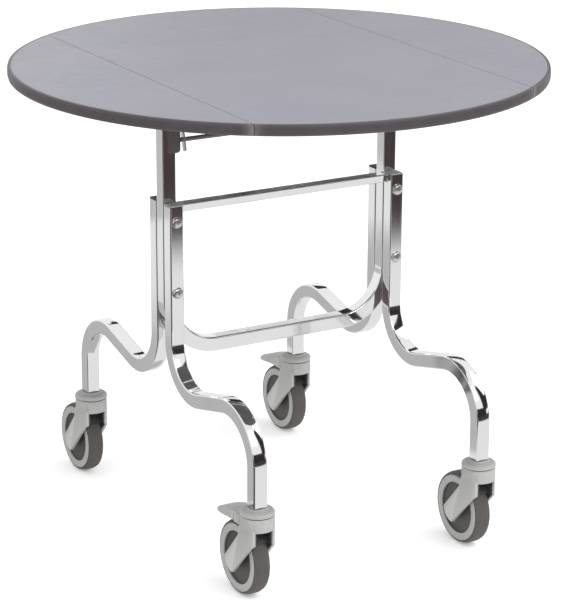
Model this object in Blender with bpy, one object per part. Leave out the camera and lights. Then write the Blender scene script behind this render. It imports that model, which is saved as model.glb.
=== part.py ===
"""Room-service trolley: a round drop-leaf table top on a chromed square-tube frame with four swivel castors.

Metres, +Z up. The origin is on the floor, under the middle of the top. X runs along the crossbars, from post
to post, and Y along the fold lines of the top. Each post is three square tubes side by side: the middle one
belongs to the U-shaped frame that carries the top, and the front and rear ones are legs that bend outwards
to the castors.
"""

import math

import bmesh
import bpy
from mathutils import Matrix, Vector

# Table top
TOP_HEIGHT = 0.8095
TOP_RADIUS = 0.450
BOARD_THICKNESS = 0.0187
EDGE_DEPTH = 0.006
FOLD_X = 0.2535
FOLD_GAP = 0.0012
ARC_STEP = math.radians(5)
EDGE_SOFT = 0.0060

# Hinges under the fold lines
HINGE_Y = 0.215
HINGE_LENGTH = 0.070
HINGE_PLATE = 0.002
HINGE_WIDTH = 0.026
BARREL_RADIUS = 0.0042
HINGE_PIN_RADIUS = 0.0020

# Square tube
TUBE = 0.025
TUBE_WALL = 0.0015
TUBE_CORNER = 0.0028
TUBE_PITCH = TUBE + 0.0006
BEND_STEP = math.radians(13)

# Frame
POST_X = 0.2131
TOP_PLATE = 0.0032
TOP_PLATE_HALF = 0.0240
TOP_PLATE_BACK = 0.0450
LEG_TOP = 0.5927
LEG_Y = 0.3089
LEG_BEND_Z = 0.2596
LEG_RISE = math.radians(14.1)
LEG_BEND_IN = 0.078
LEG_BEND_OUT = 0.082
LOW_BAR_Z = 0.3345
LOW_BEND = 0.090
UPPER_BAR_DEPTH = 0.022
UPPER_BAR_HEIGHT = 0.0140
UPPER_BAR_Y = -0.0140
BOLT_ZS = {"upper": 0.5670, "lower": 0.4455}
BOLT_RADIUS = 0.0040
BOLT_HEAD_RADIUS = 0.0098
BOLT_HEAD = 0.0050
BOLT_REACH = 0.0040
NUT_RADIUS = 0.0072
NUT_HEIGHT = 0.0085
PLUG_INSET = 0.0006
PLUG_LID = 0.0022
PLUG_DEPTH = 0.0120

# Bracket and tie rod under the top
BRACKET_WIDTH = 0.0200
BRACKET_THICK = 0.0040
BRACKET_BOTTOM = 0.6785
BRACKET_X = 0.2045
BRACKET_SOFT = 0.0060
BRACKET_FLANGE = 0.0400
ROD_Z = 0.6995
ROD_RADIUS = 0.0038
STRAP_X = 0.1880
STRAP_THICK = 0.0030
STRAP_WIDTH = 0.0095
STRAP_UP = 0.0120
STRAP_DOWN = 0.0200
STRAP_LEAN = math.radians(-14)

# Castors
WHEEL_RADIUS = 0.0625
WHEEL_HALF = 0.0156
TRAIL = 0.0416
RIM_RADIUS = 0.0568
DISC_RADIUS = 0.0445
AXLE_RADIUS = 0.0040
CASTOR_TOP = 0.1650
HEAD_RADIUS = 0.0290
SEAM_Z = 0.1510
CROWN_BOTTOM = 0.1283
ARM_INNER = 0.0188
ARM_OUTER = 0.0246
ARM_SLOPE = math.radians(131)
ARM_HALF = 0.0166
ARM_END_RADIUS = 0.0235
ARM_RUN = 0.0530
WALL_BACK = 0.0800
WALL_FRONT_X = 0.0165
WALL_THICK = 0.0030
WALL_BOTTOM = 0.1075
KINGPIN_RADIUS = 0.0060
STEM_RADIUS = 0.0105
STEM_LENGTH = 0.0300
RIVET_RADIUS = 0.0095
RECESS_RADIUS = 0.0130
RECESS_DEPTH = 0.0040
HUB_RADIUS = 0.0120
HUB_REACH = 0.0175
DISC_HALF = 0.0105
WHEEL_SEGMENTS = 24
HEAD_SEGMENTS = 18

# Brake pedal
PEDAL_Y = 0.0340
PEDAL_Z = 0.1390
PEDAL_PIN = 0.0020
KNUCKLE_RADIUS = 0.0045
EAR_INNER = 0.0120
EAR_OUTER = 0.0215
EAR_FRONT = 0.0120
EAR_LOW = 0.1285
EAR_HIGH = 0.1455
EAR_BACK = 0.0395
PEDAL_SOFT = 0.0025
# distance behind the swivel's axis, half width, top and bottom
PEDAL_STATIONS = [
    (0.0416, 0.0215, 0.1455, 0.1278),
    (0.0560, 0.0218, 0.1450, 0.1268),
    (0.0720, 0.0210, 0.1420, 0.1248),
    (0.0880, 0.0192, 0.1370, 0.1218),
    (0.1030, 0.0158, 0.1310, 0.1182),
    (0.1150, 0.0112, 0.1250, 0.1152),
    (0.1240, 0.0060, 0.1195, 0.1130),
]

# Clearance between neighbouring pieces
GAP = 0.0003
UNDERSIDE = TOP_HEIGHT - BOARD_THICKNESS - GAP
POST_TOP = UNDERSIDE - TOP_PLATE - GAP

FINISHES = {
    "laminate": ((0.40, 0.39, 0.44), 0.45, 0.0),
    "edge": ((0.085, 0.070, 0.078), 0.50, 0.0),
    "chrome": ((0.80, 0.80, 0.81), 0.08, 1.0),
    "zinc": ((0.62, 0.62, 0.60), 0.35, 1.0),
    "black_steel": ((0.035, 0.030, 0.028), 0.50, 0.2),
    "grey_plastic": ((0.42, 0.43, 0.42), 0.50, 0.0),
    "dark_plastic": ((0.05, 0.045, 0.045), 0.50, 0.0),
    "tyre": ((0.115, 0.100, 0.098), 0.60, 0.0),
}
SIDES = {"left": -1, "right": 1}
ENDS = {"front": -1, "rear": 1}


def clear_scene():
    for thing in list(bpy.data.objects):
        bpy.data.objects.remove(thing, do_unlink=True)


def material(slot):
    """The Principled material of a finish, made once."""
    found = bpy.data.materials.get(slot)
    if found:
        return found
    colour, roughness, metallic = FINISHES[slot]
    found = bpy.data.materials.new(slot)
    found.use_nodes = True
    shader = found.node_tree.nodes["Principled BSDF"]
    shader.inputs["Base Color"].default_value = (*colour, 1.0)
    shader.inputs["Roughness"].default_value = roughness
    shader.inputs["Metallic"].default_value = metallic
    return found


def add_object(name, mesh, slot, location=(0, 0, 0), parent=None):
    """An object of this mesh with its own slot's material, placed in the world or under a pivot."""
    obj = bpy.data.objects.new(name, mesh)
    obj.location = location
    obj.parent = parent
    if not mesh.materials:
        mesh.materials.append(material(slot))
    bpy.context.scene.collection.objects.link(obj)
    return obj


def pivot(name, location, parent=None):
    """An empty on a joint's axis, which carries the moving pieces."""
    empty = bpy.data.objects.new(name, None)
    empty.location = location
    empty.parent = parent
    bpy.context.scene.collection.objects.link(empty)
    return empty


def mesh_of(bm, name, smooth_angle=None):
    bmesh.ops.recalc_face_normals(bm, faces=bm.faces)
    mesh = bpy.data.meshes.new(name)
    bm.to_mesh(mesh)
    bm.free()
    if smooth_angle is not None:
        mesh.shade_smooth()
        mesh.set_sharp_from_angle(angle=smooth_angle)
    return mesh


def moved(mesh, matrix):
    """The mesh with this placement written into its points."""
    mesh.transform(matrix)
    return mesh


def prism(outline, low, high, axis="Z"):
    """A closed solid: the outline extruded between two heights along an axis. The outline is (x, y) for Z,
    (y, z) for X and (x, z) for Y."""
    place = {
        "Z": lambda a, b, h: Vector((a, b, h)),
        "X": lambda a, b, h: Vector((h, a, b)),
        "Y": lambda a, b, h: Vector((a, h, b)),
    }[axis]
    bm = bmesh.new()
    bottom = [bm.verts.new(place(a, b, low)) for a, b in outline]
    top = [bm.verts.new(place(a, b, high)) for a, b in outline]
    bm.faces.new(bottom)
    bm.faces.new(top)
    for i in range(len(outline)):
        j = (i + 1) % len(outline)
        bm.faces.new((bottom[i], bottom[j], top[j], top[i]))
    return mesh_of(bm, "prism")


def lathe(profile, segments, axis="Z", closed=False):
    """A turned solid. The profile is (radius, height); an open one starts and ends on the axis, and a closed
    one is a ring's section."""
    turn = Matrix.Rotation(math.radians(90), 4, "Y") if axis == "X" else Matrix.Identity(4)
    bm = bmesh.new()
    rows = []
    for radius, height in profile:
        if radius < 1e-9:
            rows.append([bm.verts.new(turn @ Vector((0, 0, height)))])
            continue
        row = []
        for i in range(segments):
            angle = 2 * math.pi * i / segments
            point = Vector((radius * math.cos(angle), radius * math.sin(angle), height))
            row.append(bm.verts.new(turn @ point))
        rows.append(row)
    pairs = list(zip(rows, rows[1:]))
    if closed:
        pairs.append((rows[-1], rows[0]))
    for one, two in pairs:
        for i in range(segments):
            j = (i + 1) % segments
            if len(one) == 1:
                bm.faces.new((one[0], two[j], two[i]))
            elif len(two) == 1:
                bm.faces.new((one[i], one[j], two[0]))
            else:
                bm.faces.new((one[i], one[j], two[j], two[i]))
    return mesh_of(bm, "turned", math.radians(35))


def box(low, high):
    outline = [(low[0], low[1]), (high[0], low[1]), (high[0], high[1]), (low[0], high[1])]
    return prism(outline, low[2], high[2])


def combined(base, others, operation):
    """The mesh after a Boolean with each of the others in turn."""
    body = bpy.data.objects.new("body", base)
    bpy.context.scene.collection.objects.link(body)
    helpers = []
    for i, other in enumerate(others):
        helper = bpy.data.objects.new(f"helper_{i}", other)
        helper.hide_render = True
        helper.display_type = "WIRE"
        bpy.context.scene.collection.objects.link(helper)
        cut = body.modifiers.new(f"step_{i}", "BOOLEAN")
        cut.operation = operation
        cut.solver = "EXACT"
        cut.object = helper
        helpers.append(helper)
    graph = bpy.context.evaluated_depsgraph_get()
    result = bpy.data.meshes.new_from_object(body.evaluated_get(graph))
    for thing in [body, *helpers]:
        bpy.data.objects.remove(thing, do_unlink=True)
    return result


def arc_points(centre, radius, start, end, steps):
    """Points along an arc in a plane, both ends included."""
    return [
        (centre[0] + radius * math.cos(start + (end - start) * i / steps),
         centre[1] + radius * math.sin(start + (end - start) * i / steps))
        for i in range(steps + 1)
    ]


# ---------------------------------------------------------------- table top


def fold_angle(radius, x):
    """The angle from +X at which a circle of this radius reaches this x."""
    return math.acos(x / radius)


def board_outline(radius, low_x, high_x):
    """The part of a disc between two lines of constant x, as an outline run anticlockwise."""
    points = []
    spans = []
    if high_x < radius:
        spans.append((fold_angle(radius, high_x), fold_angle(radius, low_x) if low_x > -radius else math.pi))
        spans.append((2 * math.pi - spans[0][1], 2 * math.pi - spans[0][0]))
    else:
        reach = fold_angle(radius, low_x)
        spans.append((-reach, reach))
    for start, end in spans:
        steps = max(2, round((end - start) / ARC_STEP))
        points += arc_points((0, 0), radius, start, end, steps)
    return points


def edge_section():
    """(radius, z) round the edge moulding: flat against the board, and softened outside."""
    inner = TOP_RADIUS - EDGE_DEPTH + GAP
    top, bottom = TOP_HEIGHT, TOP_HEIGHT - BOARD_THICKNESS
    middle = (TOP_RADIUS - EDGE_SOFT * 0.15, EDGE_SOFT * 0.36)
    shoulder = TOP_RADIUS - EDGE_SOFT * 0.66
    return [
        (inner, bottom),
        (shoulder, bottom),
        (middle[0], bottom + middle[1]),
        (TOP_RADIUS, bottom + EDGE_SOFT),
        (TOP_RADIUS, top - EDGE_SOFT),
        (middle[0], top - middle[1]),
        (shoulder, top),
        (inner, top),
    ]


def edge_strip(span_at):
    """The moulding along the rim. span_at gives its first and last angle for a radius, so that its ends lie
    in the fold planes."""
    section = edge_section()
    first, last = span_at(TOP_RADIUS)
    steps = max(2, round((last - first) / ARC_STEP))
    bm = bmesh.new()
    rows = []
    for i in range(steps + 1):
        row = []
        for radius, z in section:
            start, end = span_at(radius)
            angle = start + (end - start) * i / steps
            row.append(bm.verts.new((radius * math.cos(angle), radius * math.sin(angle), z)))
        rows.append(row)
    count = len(section)
    for one, two in zip(rows, rows[1:]):
        for i in range(count):
            j = (i + 1) % count
            bm.faces.new((one[i], one[j], two[j], two[i]))
    bm.faces.new(rows[0])
    bm.faces.new(rows[-1])
    return mesh_of(bm, "edge", math.radians(35))


def make_top(leaf_pivots):
    board_radius = TOP_RADIUS - EDGE_DEPTH
    low, high = TOP_HEIGHT - BOARD_THICKNESS, TOP_HEIGHT
    inside = FOLD_X - FOLD_GAP / 2
    outside = FOLD_X + FOLD_GAP / 2
    add_object("centre_board", prism(board_outline(board_radius, -inside, inside), low, high), "laminate")
    rear = edge_strip(lambda radius: (fold_angle(radius, inside), fold_angle(radius, -inside)))
    front = edge_strip(lambda radius: (-fold_angle(radius, -inside), -fold_angle(radius, inside)))
    add_object("centre_edge_rear", rear, "edge")
    add_object("centre_edge_front", front, "edge")
    for side, sign in SIDES.items():
        turned = Matrix.Rotation(0 if sign > 0 else math.pi, 4, "Z")
        hold = leaf_pivots[side]
        local = Matrix.Translation(-Vector(hold.location)) @ turned
        board = prism(board_outline(board_radius, outside, board_radius), low, high)
        add_object(f"{side}_leaf_board", moved(board, local), "laminate", parent=hold)
        strip = edge_strip(lambda radius: (-fold_angle(radius, outside), fold_angle(radius, outside)))
        add_object(f"{side}_leaf_edge", moved(strip, local), "edge", parent=hold)


def hinge_axis_z():
    return UNDERSIDE - BARREL_RADIUS


def hinge_half(sign, moving):
    """One half of a butt hinge about its pin, along Y at the origin. The fixed half holds the pin and the two
    outer knuckles, and the moving half is the middle knuckle and its plate."""
    third = HINGE_LENGTH / 3
    direction = sign if moving else -sign
    top = BARREL_RADIUS
    spans = [(-third / 2, third / 2)] if moving else [
        (-HINGE_LENGTH / 2, -third / 2 - GAP), (third / 2 + GAP, HINGE_LENGTH / 2)]
    near, far = BARREL_RADIUS + 2 * GAP, HINGE_WIDTH
    low_x, high_x = sorted((direction * near, direction * far))
    plate = box((low_x, -HINGE_LENGTH / 2, top - HINGE_PLATE), (high_x, HINGE_LENGTH / 2, top))
    parts = []
    along_y = Matrix.Rotation(math.radians(90), 4, "X")
    for start, end in spans:
        barrel = lathe([(0, start), (BARREL_RADIUS, start), (BARREL_RADIUS, end), (0, end)], 12)
        parts.append(moved(barrel, along_y))
        lug_x = sorted((0, direction * (near + HINGE_PLATE)))
        parts.append(box((lug_x[0], -end, top - HINGE_PLATE), (lug_x[1], -start, top)))
    if not moving:
        pin = lathe([(0, -third), (HINGE_PIN_RADIUS, -third), (HINGE_PIN_RADIUS, third), (0, third)], 12)
        parts.append(moved(pin, along_y))
    half = combined(plate, parts, "UNION")
    if moving:
        radius = HINGE_PIN_RADIUS + GAP
        bore = lathe([(0, -third), (radius, -third), (radius, third), (0, third)], 12)
        half = combined(half, [moved(bore, along_y)], "DIFFERENCE")
    return half


def make_hinges(leaf_pivots):
    for side, sign in SIDES.items():
        hold = leaf_pivots[side]
        for end, end_sign in ENDS.items():
            place = (sign * FOLD_X, end_sign * HINGE_Y, hinge_axis_z())
            add_object(f"{side}_hinge_{end}_plate", hinge_half(sign, moving=False), "zinc", place)
            flap = add_object(f"{side}_hinge_{end}_flap", hinge_half(sign, moving=True), "zinc", parent=hold)
            flap.location = Vector(place) - Vector(hold.location)


# ---------------------------------------------------------------- tube frame


def corner_path(corners, radii):
    """(position, direction) along a polyline in a plane whose inner corners are rounded."""
    points = [(Vector(corners[0]), (Vector(corners[1]) - Vector(corners[0])).normalized())]
    for before, corner, after, radius in zip(corners, corners[1:], corners[2:], radii):
        corner = Vector(corner)
        inward = (corner - Vector(before)).normalized()
        outward = (Vector(after) - corner).normalized()
        turn = inward.angle(outward)
        reach = radius * math.tan(turn / 2)
        axis = inward.cross(outward).normalized()
        steps = max(2, math.ceil(turn / BEND_STEP))
        centre = corner - inward * reach + axis.cross(inward) * radius
        arm = corner - inward * reach - centre
        for i in range(steps + 1):
            rotation = Matrix.Rotation(turn * i / steps, 3, axis)
            points.append((centre + rotation @ arm, rotation @ inward))
    points.append((Vector(corners[-1]), (Vector(corners[-1]) - Vector(corners[-2])).normalized()))
    return points


def square_tube(corners, radii, plane_normal):
    """A hollow square tube with rounded outer corners, open at both ends, along a path in one plane."""
    half, soft = TUBE / 2, TUBE_CORNER
    outer = [(half, -half + soft), (half, half - soft), (half - soft, half), (-half + soft, half),
             (-half, half - soft), (-half, -half + soft), (-half + soft, -half), (half - soft, -half)]
    hollow = half - TUBE_WALL
    inner = [(hollow, hollow), (-hollow, hollow), (-hollow, -hollow), (hollow, -hollow)]
    side = Vector(plane_normal)
    bm = bmesh.new()
    outer_rows, inner_rows = [], []
    for position, direction in corner_path(corners, radii):
        across = side.cross(direction)
        outer_rows.append([bm.verts.new(position + side * a + across * b) for a, b in outer])
        inner_rows.append([bm.verts.new(position + side * a + across * b) for a, b in inner])
    for rows in (outer_rows, inner_rows):
        count = len(rows[0])
        for one, two in zip(rows, rows[1:]):
            for i in range(count):
                j = (i + 1) % count
                bm.faces.new((one[i], one[j], two[j], two[i]))
    for out_row, in_row in ((outer_rows[0], inner_rows[0]), (outer_rows[-1], inner_rows[-1])):
        for i in range(4):
            first, second = out_row[2 * i + 1], out_row[2 * i + 2 - (8 if i == 3 else 0)]
            following = out_row[(2 * i + 3) % 8]
            bm.faces.new((first, second, in_row[i]))
            bm.faces.new((second, following, in_row[(i + 1) % 4], in_row[i]))
    return mesh_of(bm, "tube", math.radians(30))


def bolt_holes(x):
    """Cutters for the two clamping bolts, right through the three tubes of a post."""
    radius, reach = BOLT_RADIUS + GAP, 2 * TUBE
    along_y = Matrix.Rotation(math.radians(90), 4, "X")
    holes = []
    for z in BOLT_ZS.values():
        hole = lathe([(0, -reach), (radius, -reach), (radius, reach), (0, reach)], 10)
        holes.append(moved(hole, Matrix.Translation((x, 0, z)) @ along_y))
    return holes


def make_u_frame():
    corners = [(-POST_X, 0, POST_TOP), (-POST_X, 0, LOW_BAR_Z), (POST_X, 0, LOW_BAR_Z), (POST_X, 0, POST_TOP)]
    tube = square_tube(corners, [LOW_BEND, LOW_BEND], (0, 1, 0))
    holes = bolt_holes(-POST_X) + bolt_holes(POST_X)
    add_object("u_frame", combined(tube, holes, "DIFFERENCE"), "chrome")


def make_legs():
    run = LEG_Y - TUBE_PITCH
    knee_z = LEG_BEND_Z + run * math.tan(LEG_RISE)
    for end, end_sign in ENDS.items():
        for side, sign in SIDES.items():
            x = sign * POST_X
            corners = [
                (x, end_sign * TUBE_PITCH, LEG_TOP),
                (x, end_sign * TUBE_PITCH, LEG_BEND_Z),
                (x, end_sign * LEG_Y, knee_z),
                (x, end_sign * LEG_Y, CASTOR_TOP + GAP),
            ]
            tube = square_tube(corners, [LEG_BEND_IN, LEG_BEND_OUT], (1, 0, 0))
            add_object(f"{end}_leg_{side}", combined(tube, bolt_holes(x), "DIFFERENCE"), "chrome")
            make_tube_plug(end, side, (x, end_sign * TUBE_PITCH, LEG_TOP))


def make_tube_plug(end, side, place):
    """A push-in cap on a leg's upper end: a low pad with a square stem inside the tube."""
    half = TUBE / 2 - PLUG_INSET
    stem = TUBE / 2 - TUBE_WALL - GAP
    pad = box((-half, -half, GAP), (half, half, GAP + PLUG_LID))
    plug = combined(pad, [box((-stem, -stem, -PLUG_DEPTH), (stem, stem, GAP + PLUG_LID / 2))], "UNION")
    slot = "grey_plastic" if end == "front" else "dark_plastic"
    add_object(f"{end}_tube_plug_{side}", plug, slot, place)


def make_upper_crossbar():
    """A flat rectangular tube between the front legs, level with their upper ends."""
    reach = POST_X - TUBE / 2 - GAP
    low = (-reach, UPPER_BAR_Y - UPPER_BAR_DEPTH / 2, LEG_TOP - UPPER_BAR_HEIGHT)
    high = (reach, UPPER_BAR_Y + UPPER_BAR_DEPTH / 2, LEG_TOP)
    wall = TUBE_WALL
    hollow_low = (low[0] - wall, low[1] + wall, low[2] + wall)
    hollow_high = (high[0] + wall, high[1] - wall, high[2] - wall)
    bar = combined(box(low, high), [box(hollow_low, hollow_high)], "DIFFERENCE")
    add_object("upper_crossbar", bar, "chrome")


def make_clamp_bolts():
    """A button-head bolt through each post's three tubes, with a domed nut behind."""
    face = TUBE_PITCH + TUBE / 2 + GAP
    grip = face + GAP
    along_y = Matrix.Rotation(math.radians(-90), 4, "X")
    bolt_end = grip + BOLT_REACH
    bolt = lathe([
        (0, -face - BOLT_HEAD), (0.0045, -face - BOLT_HEAD), (0.0080, -face - BOLT_HEAD * 0.7),
        (BOLT_HEAD_RADIUS, -face - 0.0014), (BOLT_HEAD_RADIUS, -face),
        (BOLT_RADIUS, -face), (BOLT_RADIUS, bolt_end), (0, bolt_end)], 12)
    bolt = moved(bolt, along_y)
    thread = BOLT_RADIUS + GAP
    nut = lathe([
        (0, grip + NUT_HEIGHT), (0.0050, grip + NUT_HEIGHT - 0.0010), (0.0068, grip + 0.0050),
        (NUT_RADIUS, grip), (thread, grip), (thread, bolt_end + 0.0004), (0, bolt_end + 0.0004)], 12)
    nut = moved(nut, along_y)
    for side, sign in SIDES.items():
        for level, z in BOLT_ZS.items():
            add_object(f"clamp_bolt_{side}_{level}", bolt, "zinc", (sign * POST_X, 0, z))
            add_object(f"clamp_nut_{side}_{level}", nut, "zinc", (sign * POST_X, 0, z))


def make_top_plates():
    """A flat plate between each post's upper end and the board."""
    for side, sign in SIDES.items():
        x = sign * POST_X
        low = (x - TOP_PLATE_HALF, -TUBE / 2, UNDERSIDE - TOP_PLATE)
        high = (x + TOP_PLATE_HALF, TOP_PLATE_BACK, UNDERSIDE)
        add_object(f"top_plate_{side}", box(low, high), "zinc")


def make_post_brackets():
    """A dark angle bracket in front of each post: its flange is under the board, and its web hangs down."""
    front = -TUBE / 2 - GAP
    near, far = BRACKET_X - BRACKET_WIDTH / 2, BRACKET_X + BRACKET_WIDTH / 2
    centre = (near + BRACKET_SOFT, BRACKET_BOTTOM + BRACKET_SOFT)
    corner = arc_points(centre, BRACKET_SOFT, math.radians(180), math.radians(270), 4)
    outline = corner + [(far, BRACKET_BOTTOM), (far, UNDERSIDE), (near, UNDERSIDE)]
    for side, sign in SIDES.items():
        web = prism([(sign * x, z) for x, z in outline], front - BRACKET_THICK, front, "Y")
        low_x, high_x = sorted((sign * near, sign * (far + BRACKET_FLANGE / 4)))
        low = (low_x, front - BRACKET_FLANGE, UNDERSIDE - BRACKET_THICK)
        flange = box(low, (high_x, front, UNDERSIDE))
        add_object(f"post_bracket_{side}", combined(web, [flange], "UNION"), "black_steel")


def make_tie_rod():
    """A rod between the two brackets' inner edges, with a short leaning strap across it near each end."""
    reach = BRACKET_X - BRACKET_WIDTH / 2 - GAP
    rod = lathe([(0, -reach), (ROD_RADIUS, -reach), (ROD_RADIUS, reach), (0, reach)], 10, "X")
    straps = []
    for sign in SIDES.values():
        near, far = sign * STRAP_X - STRAP_THICK / 2, sign * STRAP_X + STRAP_THICK / 2
        strap = box((near, -STRAP_WIDTH / 2, -STRAP_DOWN), (far, STRAP_WIDTH / 2, STRAP_UP))
        straps.append(moved(strap, Matrix.Rotation(STRAP_LEAN, 4, "X")))
    rod_y = -TUBE / 2 - GAP - BRACKET_THICK / 2
    add_object("tie_rod", combined(rod, straps, "UNION"), "black_steel", (0, rod_y, ROD_Z))


# ---------------------------------------------------------------- castors


def castor_head():
    """The fixed cap: a rounded ring and collar, a stem up inside the leg, and the riveted kingpin below."""
    rivet_top = CROWN_BOTTOM + RECESS_DEPTH - GAP
    profile = [
        (0, CASTOR_TOP + STEM_LENGTH), (STEM_RADIUS, CASTOR_TOP + STEM_LENGTH), (STEM_RADIUS, CASTOR_TOP),
        (0.0200, CASTOR_TOP), (0.0215, CASTOR_TOP - 0.0030), (0.0260, CASTOR_TOP - 0.0036),
        (HEAD_RADIUS, CASTOR_TOP - 0.0070), (HEAD_RADIUS, SEAM_Z + GAP), (KINGPIN_RADIUS, SEAM_Z + GAP),
        (KINGPIN_RADIUS, rivet_top), (RIVET_RADIUS, rivet_top), (RIVET_RADIUS, rivet_top - 0.0027),
        (0, rivet_top - 0.0037),
    ]
    return lathe(profile, HEAD_SEGMENTS)


def arm_plan(sign):
    """An arm seen from above: a flat plate outside the wheel whose front follows the crown's round wall."""
    inner_radius = HEAD_RADIUS - WALL_THICK
    outer_start = math.acos(WALL_FRONT_X / HEAD_RADIUS)
    outer_end = math.acos(ARM_OUTER / HEAD_RADIUS)
    inner_end = math.acos(ARM_INNER / inner_radius)
    points = arc_points((0, 0), HEAD_RADIUS, -outer_start, -outer_end, 4)
    points += [(ARM_OUTER, WALL_BACK), (ARM_INNER, WALL_BACK)]
    points += arc_points((0, 0), inner_radius, -inner_end, -outer_start, 3)
    return [(sign * x, y) for x, y in points]


def arm_side():
    """An arm seen from the side, as (y, z): from the crown's wall it slants down and back to the axle."""
    along = Vector((math.cos(ARM_SLOPE), math.sin(ARM_SLOPE)))
    across = Vector((math.sin(ARM_SLOPE), -math.cos(ARM_SLOPE)))
    axle = Vector((TRAIL, WHEEL_RADIUS))
    spread = math.asin(ARM_HALF / ARM_END_RADIUS)
    tip = arc_points(axle, ARM_END_RADIUS, ARM_SLOPE + math.pi - spread, ARM_SLOPE + math.pi + spread, 6)
    joined = (SEAM_Z + CROWN_BOTTOM) / 2
    upper = axle + across * ARM_HALF + along * ARM_RUN
    front = -HEAD_RADIUS - WALL_THICK
    wall_front = -math.sqrt(HEAD_RADIUS ** 2 - WALL_FRONT_X ** 2)
    wall_rear = math.sqrt(HEAD_RADIUS ** 2 - ARM_OUTER ** 2)
    top = [tuple(upper), (wall_rear, joined)]
    return [(front, joined), (front, WALL_BOTTOM), (wall_front, WALL_BOTTOM)] + tip + top


def castor_fork(braked):
    """Crown and two slanting arms, one body. The crown is a round drum cut flat at the arms' outer faces. A
    braked one has two ears behind for the pedal's pin."""
    drum = lathe([
        (0, SEAM_Z), (HEAD_RADIUS - 0.0010, SEAM_Z), (HEAD_RADIUS, SEAM_Z - 0.0015),
        (HEAD_RADIUS, CROWN_BOTTOM), (0, CROWN_BOTTOM)], HEAD_SEGMENTS)
    flats = box((-ARM_OUTER, -2 * HEAD_RADIUS, 0), (ARM_OUTER, 2 * HEAD_RADIUS, 2 * SEAM_Z))
    crown = combined(drum, [flats], "INTERSECT")
    parts = []
    for sign in (-1, 1):
        plate = prism(arm_plan(sign), 0, SEAM_Z - 0.0040)
        low_x, high_x = sorted((0, sign * 2 * HEAD_RADIUS))
        parts.append(combined(plate, [prism(arm_side(), low_x, high_x, "X")], "INTERSECT"))
    if braked:
        for sign in (-1, 1):
            low_x, high_x = sorted((sign * EAR_INNER, sign * EAR_OUTER))
            parts.append(box((low_x, EAR_FRONT, EAR_LOW), (high_x, EAR_BACK, EAR_HIGH)))
    body = combined(crown, parts, "UNION")
    king = KINGPIN_RADIUS + GAP
    below, above = CROWN_BOTTOM - 0.01, SEAM_Z + 0.01
    cuts = [lathe([(0, below), (king, below), (king, above), (0, above)], 16)]
    recess = CROWN_BOTTOM + RECESS_DEPTH
    cuts.append(lathe([(0, below), (RECESS_RADIUS, below), (RECESS_RADIUS, recess), (0, recess)], 16))
    reach = ARM_OUTER - 0.0015
    bore = lathe([(0, -reach), (AXLE_RADIUS + GAP, -reach), (AXLE_RADIUS + GAP, reach), (0, reach)], 16, "X")
    cuts.append(moved(bore, Matrix.Translation((0, TRAIL, WHEEL_RADIUS))))
    if braked:
        radius, reach = PEDAL_PIN + GAP, EAR_OUTER - 0.0015
        bore = lathe([(0, -reach), (radius, -reach), (radius, reach), (0, reach)], 10, "X")
        cuts.append(moved(bore, Matrix.Translation((0, PEDAL_Y, PEDAL_Z))))
    return combined(body, cuts, "DIFFERENCE")


def brake_pedal():
    """A leaf-shaped tongue behind the crown, one piece with its pin, which is at the origin."""
    soft = PEDAL_SOFT
    bm = bmesh.new()
    rows = []
    for back, half, high, low in PEDAL_STATIONS:
        y, top, bottom = back - PEDAL_Y, high - PEDAL_Z, low - PEDAL_Z
        rows.append([bm.verts.new((x, y, z)) for x, z in (
            (-half + soft, top), (half - soft, top), (half, top - soft), (half, bottom + soft / 2),
            (half - soft, bottom), (-half + soft, bottom), (-half, bottom + soft / 2), (-half, top - soft))])
    for one, two in zip(rows, rows[1:]):
        for i in range(8):
            j = (i + 1) % 8
            bm.faces.new((one[i], one[j], two[j], two[i]))
    bm.faces.new(rows[0])
    bm.faces.new(rows[-1])
    tongue = mesh_of(bm, "pedal")
    inner, reach = EAR_INNER - GAP, EAR_OUTER - 0.0015 - GAP
    radius = KNUCKLE_RADIUS
    knuckle = lathe([(0, -inner), (radius, -inner), (radius, inner), (0, inner)], 12, "X")
    pin = lathe([(0, -reach), (PEDAL_PIN, -reach), (PEDAL_PIN, reach), (0, reach)], 12, "X")
    neck = box((-inner, 0, -radius * 0.8), (inner, PEDAL_STATIONS[0][0] - PEDAL_Y + soft, radius * 0.8))
    return combined(tongue, [knuckle, neck, pin], "UNION")


def castor_wheel():
    """The rim and hub: a wide outer ring, a recessed disc on both sides and a bored hub."""
    half = [
        (AXLE_RADIUS + GAP, HUB_REACH), (HUB_RADIUS, HUB_REACH), (HUB_RADIUS, DISC_HALF),
        (DISC_RADIUS, DISC_HALF), (DISC_RADIUS, WHEEL_HALF), (RIM_RADIUS, WHEEL_HALF),
    ]
    return lathe(half + [(radius, -x) for radius, x in reversed(half)], WHEEL_SEGMENTS, "X", closed=True)


def castor_tyre():
    """The tread: a band round the rim, rounded across."""
    half = [
        (RIM_RADIUS + GAP, WHEEL_HALF - 0.0008), (WHEEL_RADIUS - 0.0015, WHEEL_HALF - 0.0035),
        (WHEEL_RADIUS, WHEEL_HALF - 0.0080),
    ]
    return lathe(half + [(radius, -x) for radius, x in reversed(half)], WHEEL_SEGMENTS, "X", closed=True)


def castor_axle():
    reach = ARM_OUTER - 0.0015 - GAP
    return lathe([(0, -reach), (AXLE_RADIUS, -reach), (AXLE_RADIUS, reach), (0, reach)], 16, "X")


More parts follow.
